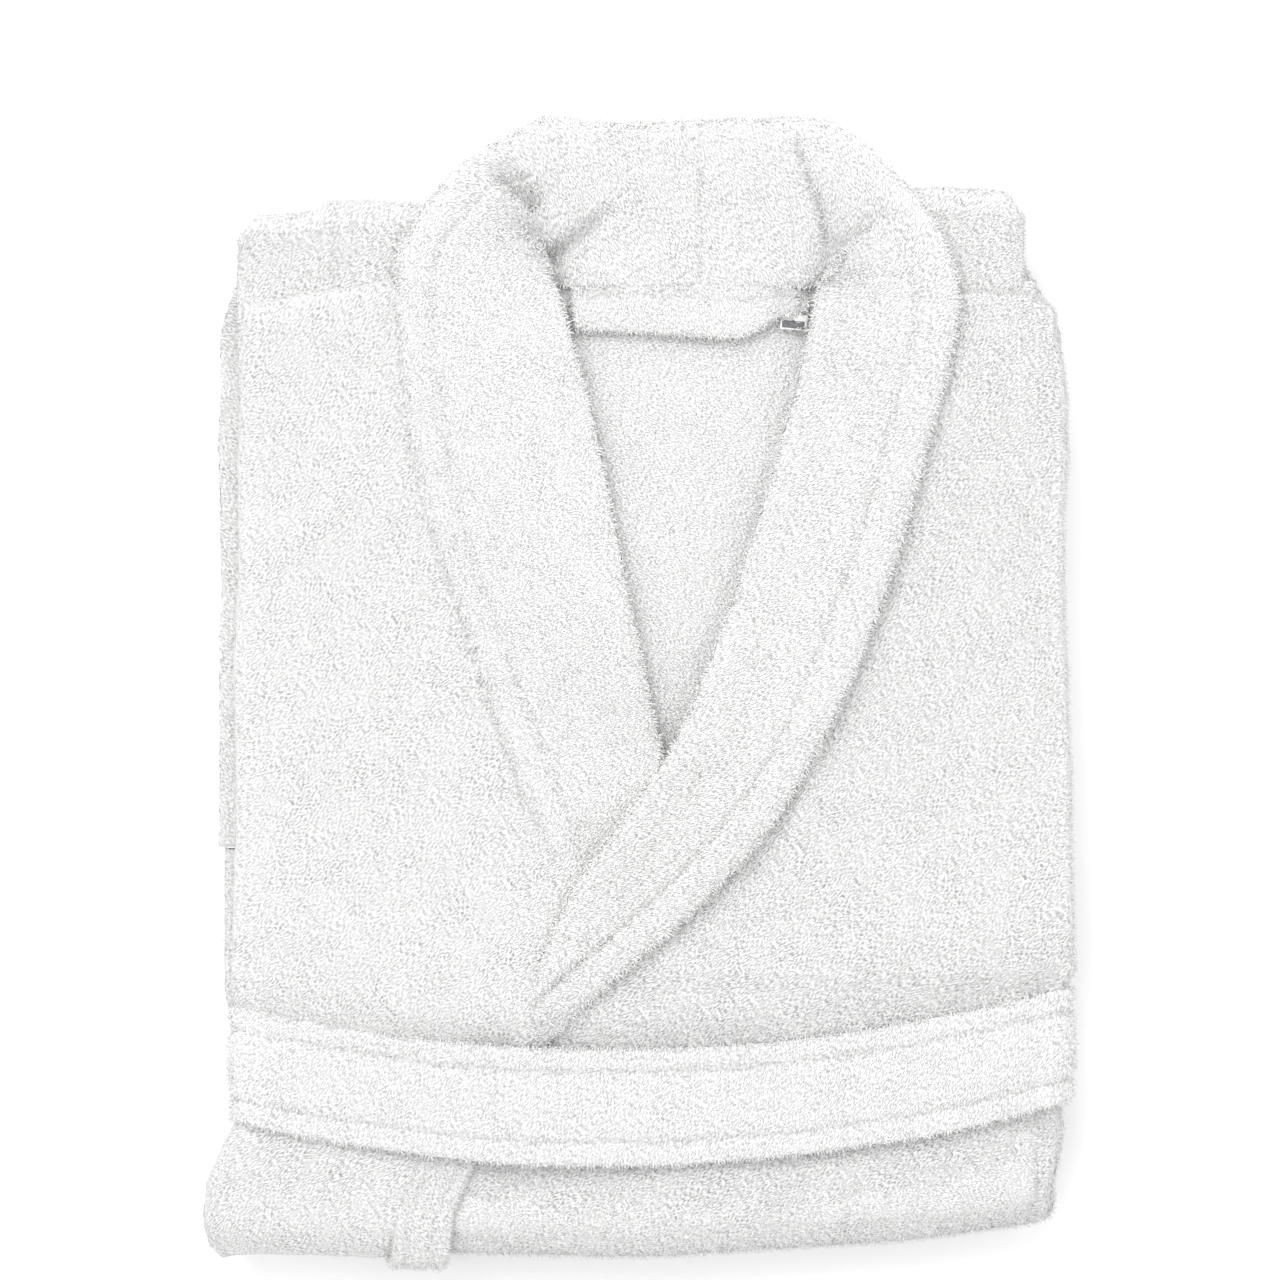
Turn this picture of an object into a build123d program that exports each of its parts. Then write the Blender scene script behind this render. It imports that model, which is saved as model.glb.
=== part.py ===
from build123d import *
import os

# A terry bathrobe with a shawl collar, folded flat into a pack and tied with its belt.
# The pack lies face up: +X is the wearer's left, +Y points to the collar, +Z is up.
# Left and right in the names are the wearer's. The origin is at the middle of the underside.

# Driving dimensions, mm
cloth = 3.2             # one layer of terry, pressed in the stack
air = 0.3               # clearance between two layers
right_side = -199.0     # the pack's side fold on the wearer's right
left_side = 209.0       # the pack's side fold on the wearer's left
sleeve_out = 213.5      # the sleeves stand out from the stack to here on both sides
skirt_fold_y = -283.0   # the fold that turns the skirt under the pack
inner_fold_y = 188.0    # the fold that turns the hem part back inside
hem_y = -90.0           # where the hem ends inside the pack
shoulder_y = 200.0      # the shoulder line, the upper edge of both fronts
neck_y = 208.5          # the seam between the back panel and the collar
collar_y = 289.0        # the rolled upper edge of the collar
collar_top = 66.0       # height of the rolled collar above the table
centre_back_x = 29.0    # the seam at the middle of the collar
side_return = 108.0     # width of each side that is folded behind
hem_width = 25.0
band_width = 28.0       # the band that edges both fronts
band_overhang = 6.0     # how far the band stands out past the skirt's fold
belt_width = 56.0
belt_room = 0.5         # clearance between the belt and the sides of the pack
belt_end_y = -175.0     # the belt's middle line at the sides of the pack
belt_slope = 5.0        # how much higher it is on the wearer's left, each way
belt_sag = 26.0         # how far the middle of the belt hangs below its ends
sleeve_width = 205.0
sleeve_length = 318.0   # from the fold behind the shoulder to the cuff
cuff_length = 80.0
pocket_width = 165.0
pocket_height = 190.0
pocket_x = 98.0         # the middles of both pockets, from the middle of the pack
pocket_y = -30.0
loop_depth = 25.0       # the hanger loop, from its seam to its free edge
label_size = (13.5, 8.0, 0.8)
belt_loop_size = (12.0, 64.0, 2.5)

# The left front's edge: the roll line of the lapel, then the band down to the skirt's fold
left_neck = (84.0, neck_y)
left_chest = (66.5, 118.0)
crossing = (13.0, -30.0)                # here the left front starts to cover the right one
left_waist = (-51.0, -132.0)
under_belt = (-62.0, -166.0)
band_end = (-128.0, skirt_fold_y - band_overhang)

# The right front's edge: its roll line, then its hidden part under the left front
right_neck = (-44.5, neck_y)
right_chest = (-21.0, 123.0)
right_crossing = (10.0, -32.0)
hidden_waist = (60.0, -150.0)

# The outer edges of the lapels, from the collar's upper edge down
left_lapel = [(94.0, collar_y), (150.0, 226.0), (151.0, 160.0), (104.0, 8.0), (14.0, -117.0), (-42.0, -166.0)]
right_lapel = [(-51.0, collar_y), (-119.0, 228.0), (-120.0, 150.0), (-91.0, 38.0), (-30.0, -110.0)]

# Layers of the stack, counted from the table
UNDER_BELT, LEFT_UNDER, RIGHT_POCKET, RIGHT_UNDER, BACK_UNDER = range(5)
BACK_IN, RIGHT_IN, LEFT_IN, SLEEVE, SLEEVE_TOP = range(5, 10)
FRONT_RETURN, BACK_RETURN, BACK, RIGHT_FRONT, LEFT_FRONT = range(10, 15)
UNDER_COLLAR, UPPER_COLLAR = range(15, 17)

pitch = cloth + air
beyond = 700.0          # longer than anything in the pack


def level(layer):
    """Height of the lower face of a layer; layer 0 lies on the table."""
    return layer * pitch


def top(layer):
    """Height of the upper face of a layer."""
    return level(layer) + cloth


def plate(outline, low, high):
    """A flat solid with this outline, between two heights."""
    return extrude(Pos(0, 0, low) * outline, high - low)


def block(x0, x1, y0, y1, z0, z1):
    centre = Pos((x0 + x1) / 2, (y0 + y1) / 2, (z0 + z1) / 2)
    return centre * Box(x1 - x0, y1 - y0, z1 - z0)


def rounded(x0, x1, y0, y1, radius):
    """A rectangle with rounded corners, seen from above."""
    return Pos((x0 + x1) / 2, (y0 + y1) / 2) * RectangleRounded(x1 - x0, y1 - y0, radius)


def turned(low, high, edge, ends):
    """The section of cloth turned once round a rounded edge: the outer faces of its two layers
    are at the heights low and high, the turn is at edge and both layers run to ends."""
    run = abs(ends - edge)
    inward = 1 if ends > edge else -1
    centre = Pos(edge + inward * run, (low + high) / 2)
    height = high - low
    inside = height - 2 * cloth
    outer = centre * RectangleRounded(2 * run, height, min(15.0, 0.49 * height))
    hollow = centre * RectangleRounded(2 * (run - cloth), inside, min(15.0 - cloth, 0.3 * inside))
    return (outer - hollow) & Pos((edge + ends) / 2, (low + high) / 2) * Rectangle(run, height + 2)


def across(section, x0, x1):
    """A section drawn in Y and Z, carried from x0 to x1."""
    return extrude(Plane(origin=(x0, 0, 0), x_dir=(0, 1, 0), z_dir=(1, 0, 0)) * section, x1 - x0)


def along(section, y0, y1):
    """A section drawn in X and Z, carried from y0 to y1."""
    return extrude(Plane(origin=(0, y1, 0), x_dir=(1, 0, 0), z_dir=(0, -1, 0)) * section, y1 - y0)


def folded_length(outer, inner, nest):
    """The lengthwise section of one panel: over the top, under at the skirt's fold and back in
    at the inner fold. outer and inner are its lowest and highest layer at each fold."""
    first, last = outer
    section = turned(level(first), top(last), skirt_fold_y + nest, shoulder_y)
    end = inner_fold_y - 30
    section -= Pos((end + shoulder_y) / 2 + 1, level(SLEEVE) / 2) * Rectangle(shoulder_y - end + 2, level(SLEEVE))
    edge = inner_fold_y + 2 * pitch - nest
    return section + turned(level(first), top(inner), edge, hem_y + hem_width)


def folded_side(layer_low, layer_high, side, inward):
    """One side of a panel, turned behind the pack."""
    section = turned(level(layer_low), top(layer_high), side, side + inward * side_return)
    return along(section, skirt_fold_y + 7 * pitch, shoulder_y - 8)


def left_region():
    """Everything that the left front covers, seen from above."""
    roll = Spline(left_neck, left_chest, crossing, left_waist, under_belt)
    rest = Polyline(under_belt, band_end, (left_side, band_end[1]), (left_side, neck_y), left_neck)
    return make_face([roll, *rest.edges()])


def right_region():
    """Everything that the right front covers, its hidden part under the left front included."""
    roll = Spline(right_neck, right_chest, right_crossing, hidden_waist)
    low_y = band_end[1]
    rest = Polyline(hidden_waist, (hidden_waist[0], low_y), (right_side, low_y), (right_side, neck_y), right_neck)
    return make_face([roll, *rest.edges()])


def back_panel():
    x0 = right_side + 2 * pitch
    x1 = left_side - 2 * pitch
    body = across(folded_length((BACK_UNDER, BACK), BACK_IN, 2 * pitch), x0, x1)
    body += plate(rounded(x0, x1, 0, neck_y - air, 10), level(BACK), top(BACK))
    body += folded_side(BACK_RETURN, BACK, right_side + pitch, 1)
    return body + folded_side(BACK_RETURN, BACK, left_side - pitch, -1)


def left_front_panel():
    x0 = band_end[0]
    x1 = left_side - pitch
    body = across(folded_length((LEFT_UNDER, LEFT_FRONT), LEFT_IN, 0), x0, x1)
    body &= plate(left_region(), level(LEFT_FRONT), top(LEFT_FRONT)) + block(
        x0, x1, -beyond, beyond, 0, level(LEFT_FRONT)
    )
    body += folded_side(FRONT_RETURN, LEFT_FRONT, left_side, -1)
    foot_y = belt_end_y + 40
    foot = plate(rounded(x0, x1, foot_y, inner_fold_y - 10, 10), 0, level(LEFT_UNDER))
    return body + (foot - plate(pocket_outline(1, air), 0, level(LEFT_UNDER)))


def right_front_panel():
    x0 = right_side + pitch
    x1 = hidden_waist[0]
    body = across(folded_length((RIGHT_UNDER, RIGHT_FRONT), RIGHT_IN, pitch), x0, x1)
    body &= plate(right_region(), level(RIGHT_FRONT), top(RIGHT_FRONT)) + block(
        x0, x1, -beyond, beyond, 0, level(RIGHT_FRONT)
    )
    return body + folded_side(FRONT_RETURN, RIGHT_FRONT, right_side, 1)


def pocket_outline(side, room=0.0):
    shape = RectangleRounded(pocket_width + 2 * room, pocket_height + 2 * room, 12 + room)
    return Pos(side * pocket_x, pocket_y) * shape


def left_pocket():
    """The patch pocket on the underside, pressed flush into the cloth round it."""
    return plate(pocket_outline(1), level(UNDER_BELT), top(UNDER_BELT))


def right_pocket():
    """The patch pocket on the right front, hidden where the left front overlaps it."""
    return plate(pocket_outline(-1), level(RIGHT_POCKET), top(RIGHT_POCKET))


def hem(x0, x1, layer):
    """The turned hem at the end of one inner layer."""
    return block(x0, x1, hem_y, hem_y + hem_width - air, level(layer), top(layer))


def sleeve(side, top_y, shown):
    """A sleeve folded down behind the pack; its fold stands past the shoulder between the two
    x values in shown."""
    x0, x1 = sorted((side * sleeve_out, side * (sleeve_out - sleeve_width)))
    flat = rounded(x0, x1, top_y - sleeve_length, top_y - 5, 8)
    fold = rounded(shown[0], shown[1], neck_y + 1, top_y, 10)
    return plate(flat, level(SLEEVE), top(SLEEVE_TOP)) + plate(fold, level(SLEEVE), top(RIGHT_FRONT))


def cuff(side, top_y):
    """The turned-up cuff at the end of a sleeve."""
    inset = 3.0
    x0, x1 = sorted((side * (sleeve_out - inset), side * (sleeve_out - sleeve_width + inset)))
    y1 = top_y - sleeve_length - air
    return plate(rounded(x0, x1, y1 - cuff_length, y1, 6), level(SLEEVE), top(SLEEVE_TOP))


def left_collar_outline():
    """The left lapel with the left half of the collar behind the neck."""
    outer = Spline(*left_lapel)
    roll = Spline(under_belt, left_waist, crossing, left_chest, left_neck)
    seam_x = centre_back_x + air
    back = Polyline(left_neck, (seam_x, neck_y), (seam_x, collar_y), left_lapel[0])
    return make_face([outer, Line(left_lapel[-1], under_belt), roll, *back.edges()])


def right_collar_outline():
    """The right lapel, as far as the left front leaves it open, with its half of the collar."""
    outer = Spline(*right_lapel)
    low_end = (14.0, -45.0)
    roll = Spline(low_end, right_chest, right_neck)
    back = Polyline(right_neck, (centre_back_x, neck_y), (centre_back_x, collar_y), right_lapel[0])
    whole = make_face([outer, Line(right_lapel[-1], low_end), roll, *back.edges()])
    return whole - Pos(-2 * air, 0) * left_region()


def collar_layer(outline, layer, low, high):
    """One layer of a lapel, with the part of the roll behind the neck that belongs to it."""
    behind = outline & Pos(0, neck_y + beyond / 2) * Rectangle(beyond, beyond - 2 * air)
    return plate(outline, level(layer), top(layer)) + plate(behind, low, high)


def upper_collar(outline, layer):
    return collar_layer(outline, layer, level(layer), collar_top)


def under_collar(outline, layer):
    return collar_layer(outline, layer, level(FRONT_RETURN), top(layer))


def left_front_band():
    """The band that goes on from the lapel, under the belt and out over the skirt's fold."""
    strip = Polyline(
        (under_belt[0] - 1, under_belt[1] - 3),
        band_end,
        (band_end[0] + 0.96 * band_width, band_end[1] + 0.2 * band_width),
        (under_belt[0] + band_width, under_belt[1] - 5),
        close=True,
    )
    return plate(make_face(strip), level(UNDER_COLLAR), top(UNDER_COLLAR))


def right_front_band():
    """The same band on the right front's edge, hidden under the left front."""
    x0 = hidden_waist[0] + air
    y0 = skirt_fold_y + 4 * pitch
    return block(x0, x0 + band_width, y0, hidden_waist[1] + 20, level(RIGHT_FRONT), top(RIGHT_FRONT))


def belt():
    """A flat belt round the pack, one closed turn whose middle sags towards the skirt."""
    x0 = right_side - belt_room - cloth
    x1 = left_side + belt_room + cloth
    low_corner = (x0, belt_end_y - belt_slope)
    high_corner = (x1, belt_end_y + belt_slope)
    middle = (-10.0, belt_end_y - belt_sag)
    raise_by = belt_width / 2
    ends = [Pos(0, dy) * ThreePointArc(low_corner, middle, high_corner) for dy in (raise_by, -raise_by)]
    sides = [
        Line((x, y - raise_by), (x, y + raise_by)) for x, y in (low_corner, high_corner)
    ]
    outline = make_face([*ends, *sides])
    height = top(UPPER_COLLAR)
    centre = Pos((x0 + x1) / 2, height / 2)
    ring = centre * (Rectangle(x1 - x0, height) - Rectangle(x1 - x0 - 2 * cloth, height - 2 * cloth))
    return along(ring, -400, 0) & plate(outline, -1, height + 1)


def belt_loop(x0):
    """A loop of the side seam that the belt goes through when the robe is worn."""
    width, length, thick = belt_loop_size
    y1 = belt_end_y + 25
    return block(x0, x0 + width, y1 - length, y1, level(FRONT_RETURN), level(FRONT_RETURN) + thick)


def neck_tape():
    """The tape that covers the neck seam between the lapels."""
    return block(right_neck[0] + 5, left_neck[0] - 2, neck_y - 4, neck_y - air, level(RIGHT_FRONT), top(RIGHT_FRONT))


def hanger_loop():
    """The loop of terry that hangs from the neck seam, lying flat on the back panel."""
    y1 = neck_y - 4.5
    right_end = right_neck[0] + 10
    outline = make_face(
        Polyline(
            (right_end, y1),
            (right_end, y1 - loop_depth + 3),
            (50, y1 - loop_depth),
            (64, y1 - 0.6 * loop_depth),
            (66, y1),
            close=True,
        )
    )
    return plate(outline, level(RIGHT_FRONT), top(RIGHT_FRONT))


def neck_label():
    """A small plain woven label beside the end of the hanger loop."""
    width, height, thick = label_size
    y1 = neck_y - 18
    return block(69, 69 + width, y1 - height, y1, level(RIGHT_FRONT), level(RIGHT_FRONT) + thick)


left_outline = left_collar_outline()
right_outline = right_collar_outline()
back_x = (right_side + 2 * pitch, left_side - 2 * pitch)
right_top_y = 248.0
left_top_y = 255.0

nodes = {
    "back_panel": back_panel(),
    "left_front_panel": left_front_panel(),
    "right_front_panel": right_front_panel(),
    "left_sleeve": sleeve(1, left_top_y, (154.0, 193.0)),
    "right_sleeve": sleeve(-1, right_top_y, (-203.0, -124.0)),
    "left_cuff": cuff(1, left_top_y),
    "right_cuff": cuff(-1, right_top_y),
    "left_upper_collar": upper_collar(left_outline, UPPER_COLLAR),
    "left_under_collar": under_collar(left_outline, UNDER_COLLAR),
    "right_upper_collar": upper_collar(right_outline, UNDER_COLLAR),
    "right_under_collar": under_collar(right_outline, LEFT_FRONT),
    "left_front_band": left_front_band(),
    "right_front_band": right_front_band(),
    "left_pocket": left_pocket(),
    "right_pocket": right_pocket(),
    "back_hem": hem(back_x[0], back_x[1], BACK_IN),
    "left_front_hem": hem(band_end[0], left_side - pitch, LEFT_IN),
    "right_front_hem": hem(right_side + pitch, hidden_waist[0], RIGHT_IN),
    "belt": belt(),
    "left_belt_loop": belt_loop(84.0),
    "right_belt_loop": belt_loop(-86.0),
    "neck_tape": neck_tape(),
    "hanger_loop": hanger_loop(),
    "neck_label": neck_label(),
}

os.makedirs("parts", exist_ok=True)
for name, solid in nodes.items():
    export_step(solid, f"parts/{name}.step")
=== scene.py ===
import math

import bpy
import numpy as np
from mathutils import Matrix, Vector


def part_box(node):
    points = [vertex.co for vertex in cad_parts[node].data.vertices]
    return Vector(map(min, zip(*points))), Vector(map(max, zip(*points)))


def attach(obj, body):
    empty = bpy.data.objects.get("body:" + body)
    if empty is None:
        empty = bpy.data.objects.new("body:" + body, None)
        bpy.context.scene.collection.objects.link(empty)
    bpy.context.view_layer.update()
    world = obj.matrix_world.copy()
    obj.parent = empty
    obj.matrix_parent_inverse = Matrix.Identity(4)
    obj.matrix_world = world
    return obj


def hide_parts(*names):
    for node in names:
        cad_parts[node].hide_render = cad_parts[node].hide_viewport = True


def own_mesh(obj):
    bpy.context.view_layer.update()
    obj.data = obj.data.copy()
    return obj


# A folded terry bathrobe. Lengths are in millimetres until a mesh is made, in the frame of the
# CAD model: +X is the wearer's left, +Y points to the collar, +Z is up.
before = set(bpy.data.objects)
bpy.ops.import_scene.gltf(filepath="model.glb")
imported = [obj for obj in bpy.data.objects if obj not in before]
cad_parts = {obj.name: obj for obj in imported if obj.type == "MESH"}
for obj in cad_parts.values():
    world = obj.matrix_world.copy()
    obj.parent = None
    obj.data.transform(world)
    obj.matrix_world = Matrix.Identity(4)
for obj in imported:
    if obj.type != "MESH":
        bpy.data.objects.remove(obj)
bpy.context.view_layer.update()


# ---- places, from the frame
def limits(node):
    """The lowest and highest corner of a CAD node, in millimetres."""
    low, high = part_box(node)
    return 1000 * np.array(low), 1000 * np.array(high)


left_low, left_high = limits("left_front_panel")
back_low, back_high = limits("back_panel")
belt_low, belt_high = limits("belt")
loop_low, loop_high = limits("hanger_loop")

CLOTH = 3.6  # terry, pile included
FINE = 1.5  # grid step where the cloth shows
COARSE = 6.0  # and where it doesn't
UNDER_EVERY = 3  # a sheet's lower face keeps every third line of its grid
ON_FLOOR = 0.3  # what would be lower is pressed flat on the floor
FAR = 5000.0  # a distance longer than any panel
PACK_TOP = left_high[2]  # upper face of the fronts
FOLD_Y = left_low[1]  # the skirt's fold
SHOULDER_Y = left_high[1]
NECK_Y = back_high[1]
LIFT = 5.0  # the skirt lies this high, over the belt and a pocket
FOLD_R = (PACK_TOP - LIFT) / 2
UNDER_END = 181.0  # y of the centre of the inner fold
TUBE = 14.5  # depth of the folded panels at the pack's sides
RETURN = 100.0  # how far each side is folded in


# ---- numbers and noise
def smoothstep(low, high, x):
    """0 before low, 1 past high, and a smooth step between them; low may be the larger one."""
    t = np.clip((np.asarray(x, float) - low) / (high - low), 0, 1)
    return t * t * (3 - 2 * t)


def bell(x, width):
    """1 at 0, and down to 0.37 at the width on both sides."""
    return np.exp(-((np.asarray(x, float) / width) ** 2))


def rounded(distance, radius):
    """How full a sheet with a round edge is, 0 to 1, at a distance from its edge."""
    return np.sqrt(1 - (1 - np.clip(distance / radius, 0, 1)) ** 2)


def grid(*parts):
    """One array from coordinates that are each spread over the same rows and columns."""
    return np.stack(np.broadcast_arrays(*parts), axis=2)


def edge_arc(count):
    """Positions from 0 to 1 that lie closest together at 0, for the turn of an edge."""
    return 1 - np.cos(np.linspace(0, math.pi / 2, count))


def across_band(half, turn, count, turn_count=6):
    """Positions from -half to half across a band, close together where its edges turn."""
    arc = turn * edge_arc(turn_count)
    inside = np.linspace(turn - half, half - turn, count)[1:-1]
    return np.concatenate([arc - half, inside, half - arc[::-1]])


def blended(table, u, v, ease):
    """Values between the points of a table that repeats for ever, at row u and column v. ease
    turns the share of the way between two points, 0 to 1, into the share of the value."""
    rows, cols = table.shape
    i = np.floor(u).astype(int)
    j = np.floor(v).astype(int)
    f, g = ease(u - i), ease(v - j)
    low = table[i % rows, j % cols] * (1 - f) + table[(i + 1) % rows, j % cols] * f
    high = table[i % rows, (j + 1) % cols] * (1 - f) + table[(i + 1) % rows, (j + 1) % cols] * f
    return low * (1 - g) + high * g


def noise(x, y, cell, seed):
    """Smooth value noise from -1 to 1."""
    table = np.random.default_rng(seed).uniform(-1, 1, (64, 64))
    u, v = np.asarray(x, float) / cell, np.asarray(y, float) / cell
    return blended(table, u, v, lambda share: smoothstep(0, 1, share))


def spline(points, t):
    """Catmull-Rom curve through the points; t counts them from 0."""
    p = np.array(points, float)
    t = np.clip(np.asarray(t, float), 0, len(p) - 1)
    i = np.minimum(t.astype(int), len(p) - 2)
    f = (t - i)[..., None]
    before = p[np.maximum(i - 1, 0)]
    here = p[i]
    there = p[i + 1]
    after = p[np.minimum(i + 2, len(p) - 1)]
    return 0.5 * (
        2 * here
        + (there - before) * f
        + (2 * before - 5 * here + 4 * there - after) * f**2
        + (3 * here - before - 3 * there + after) * f**3
    )


TILE_SIZE = 120.0  # millimetres of cloth
TILE_PIXEL = 0.5
TUFT_SPACING, TUFT_LONG, TUFT_SHORT = 1.7, 1.2, 0.65


def tuft_tile():
    """A repeating field of terry tufts, from 0 in the gaps to about 1 at the tips."""
    rng = np.random.default_rng(11)
    n = int(TILE_SIZE / TILE_PIXEL)
    count = int((TILE_SIZE / TUFT_SPACING) ** 2 * 1.35)
    tile = np.zeros((n, n))
    cx, cy = rng.uniform(0, TILE_SIZE, (2, count))
    angle = rng.normal(0.5 * np.pi, 0.5, count)
    height = rng.uniform(0.45, 1.0, count)
    reach = int(2.0 * TUFT_LONG / TILE_PIXEL)
    for dx in range(-reach, reach + 1):
        for dy in range(-reach, reach + 1):
            ix = np.floor(cx / TILE_PIXEL).astype(int) + dx
            iy = np.floor(cy / TILE_PIXEL).astype(int) + dy
            x = (ix + 0.5) * TILE_PIXEL - cx
            y = (iy + 0.5) * TILE_PIXEL - cy
            a = (x * np.cos(angle) + y * np.sin(angle)) / TUFT_LONG
            b = (-x * np.sin(angle) + y * np.cos(angle)) / TUFT_SHORT
            np.maximum.at(tile, (ix % n, iy % n), height * np.exp(-(a**2 + b**2)))
    return tile


TILE = tuft_tile()


def tufts(u, v):
    """The height of the pile at cloth coordinates, 0 to 1."""
    n = len(TILE)
    return blended(TILE, u / TILE_SIZE * n, v / TILE_SIZE * n, lambda share: share)


def steps(*stretches):
    """Positions along a line: each stretch is (length, step)."""
    out = [0.0]
    for length, step in stretches:
        count = max(1, int(round(length / step)))
        out.extend(list(out[-1] + length * np.arange(1, count + 1) / count))
    return np.array(out)


# ---- meshes
MEAN_PILE = 0.45  # the tufts' mean height, from which they go up and down
SMALL_TEETH = (1.3, 2.6, 0.42)  # shortest, longest and half width of a fringe's tufts


def shell(name, top, bottom, cloth, pile, material, wrap=False, fringe=0.8, teeth=SMALL_TEETH):
    """A closed sheet between two grids of points, with terry pile on it.

    top and bottom have the shape (rows, columns, 3), cloth has (rows, columns, 2) and is the
    place of each point on the flat cloth; each piece is cut elsewhere, so that its tufts differ.
    The bottom, which hardly shows, is coarser. With wrap, the last row joins the first one. Where
    the sheet turns away from above, single tufts stand out of it, as many for each point as
    fringe says."""
    rows, cols = top.shape[:2]
    count = rows * cols
    index = np.arange(count).reshape(rows, cols)
    if wrap:
        index = np.vstack([index, index[:1]])
    keep_rows = thinned(len(index), UNDER_EVERY)
    keep_cols = thinned(cols, UNDER_EVERY)
    under = count + np.arange(len(keep_rows) * len(keep_cols)).reshape(len(keep_rows), len(keep_cols))
    to_row, to_col = nearest(len(index), keep_rows), nearest(cols, keep_cols)
    if wrap:
        under = np.vstack([under[:-1], under[:1]])
        rims = [(index[:, -1], under[to_row, -1]), (index[::-1, 0], under[to_row[::-1], 0])]
        keep_rows = keep_rows[:-1]
    else:
        rims = [(rim(index), rim(under[to_row][:, to_col]))]
    low = bottom[keep_rows][:, keep_cols]
    low_cloth = cloth[keep_rows][:, keep_cols]
    points = np.concatenate([top.reshape(-1, 3), low.reshape(-1, 3)])
    quads = np.concatenate([quad_grid(index), quad_grid(under)[:, ::-1]])
    tris = np.concatenate([band(fine, coarse) for fine, coarse in rims])
    normals = point_normals(points, quads)
    facing = np.sum(normals[:count] * (top.reshape(-1, 3) - bottom.reshape(-1, 3)))
    if facing < 0:
        quads, tris, normals = quads[:, ::-1], tris[:, ::-1], -normals
    other_side = 37.0
    flat = np.concatenate([cloth.reshape(-1, 2), low_cloth.reshape(-1, 2) + other_side])
    rng = np.random.default_rng(sum(map(ord, name)))
    # depth lifts each point with its tuft and, stored as the 'pile' attribute, also sets painted shade:
    # the material darkens the cloth where tufts are low
    depth = tufts(flat[:, 0], flat[:, 1]) + rng.normal(0, 0.16, len(points))
    amount = np.broadcast_to(np.asarray(pile, float), (rows, cols)).reshape(-1)
    amount = np.concatenate([amount, np.full(len(points) - count, amount.mean())])
    points = points + normals * (amount * (depth - MEAN_PILE))[:, None]
    # Painted shade: where the pile is thicker than usual the 'pile' attribute is lowered, so the
    # material paints the cloth darker there
    depth = depth - 0.9 * np.maximum(amount - 0.9, 0)
    if fringe:
        turned = 1 - smoothstep(0.45, 0.93, np.abs(normals[:count, 2]))
        chance = rng.uniform(0, 1, count)
        chosen = np.flatnonzero(chance < fringe * (0.06 + 0.94 * turned))
        spikes, spike_faces = fringe_tufts(points[chosen], normals[chosen], rng, teeth)
        tris = np.concatenate([tris, spike_faces + len(points)])
        points = np.concatenate([points, spikes])
        flat = np.concatenate([flat, np.repeat(flat[chosen], 4, axis=0)])
        # Painted light: the fringe tufts get a high 'pile' value, so the material paints them with
        # little shade, as lit tips
        depth = np.concatenate([depth, np.full(len(spikes), 0.8)])
    points[:, 2] = np.maximum(points[:, 2], ON_FLOOR)
    return mesh_object(name, points, [quads, tris], flat, depth, material)


def thinned(count, every):
    """Every so many of the numbers from 0 to count - 1, with both ends and their neighbours."""
    kept = set(range(0, count, every)) | {0, 1, count - 2, count - 1}
    return np.array(sorted(kept))


def nearest(count, kept):
    """For each number up to count, the place in kept of the last one that isn't above it."""
    return np.searchsorted(kept, np.arange(count), side="right") - 1


def band(fine, coarse):
    """Triangles between a line of points and a line with fewer, given point by point."""
    whole = np.stack([fine[:-1], fine[1:], coarse[1:]], axis=1)
    step = coarse[:-1] != coarse[1:]
    extra = np.stack([fine[:-1], coarse[1:], coarse[:-1]], axis=1)[step]
    return np.concatenate([whole, extra])


def fringe_tufts(roots, normals, rng, teeth):
    """Single closed tufts of terry, each a thin pyramid that leans out of the cloth."""
    n = len(roots)
    shortest, longest, half_width = teeth
    lean = rng.normal(0, 0.55, (n, 3)) + np.array([0.15, -0.25, 0.0])
    way = normals + lean - normals * np.sum(lean * normals, axis=1, keepdims=True) * 0.7
    way /= np.linalg.norm(way, axis=1, keepdims=True)
    across = np.cross(way, normals + rng.normal(0, 0.2, (n, 3)))
    across /= np.maximum(np.linalg.norm(across, axis=1, keepdims=True), 1e-9)
    up = np.cross(across, way)
    base = roots - way * 0.5
    tip = roots + way * rng.uniform(shortest, longest, (n, 1))
    aside = across * half_width
    corners = np.stack([base + aside, base - aside, base + up * half_width * 1.1, tip], axis=1)
    one = np.array([[0, 1, 3], [1, 2, 3], [2, 0, 3], [0, 2, 1]])
    faces = (np.arange(n)[:, None, None] * 4 + one[None]).reshape(-1, 3)
    a, b, c = corners[:, 0], corners[:, 1], corners[:, 3]
    outward = np.sum(np.cross(b - a, c - a) * (a + b + c - 3 * corners[:, 2]), axis=1)
    flip = outward < 0
    faces = faces.reshape(n, 4, 3)
    faces[flip] = faces[flip][:, :, ::-1]
    return corners.reshape(-1, 3), faces.reshape(-1, 3)


def quad_grid(index):
    """The faces between the points of a grid of indices."""
    a = index[:-1, :-1].ravel()
    b = index[1:, :-1].ravel()
    c = index[1:, 1:].ravel()
    d = index[:-1, 1:].ravel()
    return np.stack([a, b, c, d], axis=1)


def rim(index):
    """The closed loop of indices round a grid."""
    return np.concatenate([index[0, :], index[1:, -1], index[-1, -2::-1], index[-2::-1, 0]])


def point_normals(points, faces):
    """The direction that each point faces, from the faces round it."""
    p = points[faces]
    face = np.cross(p[:, 2] - p[:, 0], p[:, 3] - p[:, 1])
    total = np.zeros_like(points)
    for corner in range(4):
        for axis in range(3):
            total[:, axis] += np.bincount(faces[:, corner], face[:, axis], len(points))
    size = np.linalg.norm(total, axis=1, keepdims=True)
    return total / np.maximum(size, 1e-12)


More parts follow.
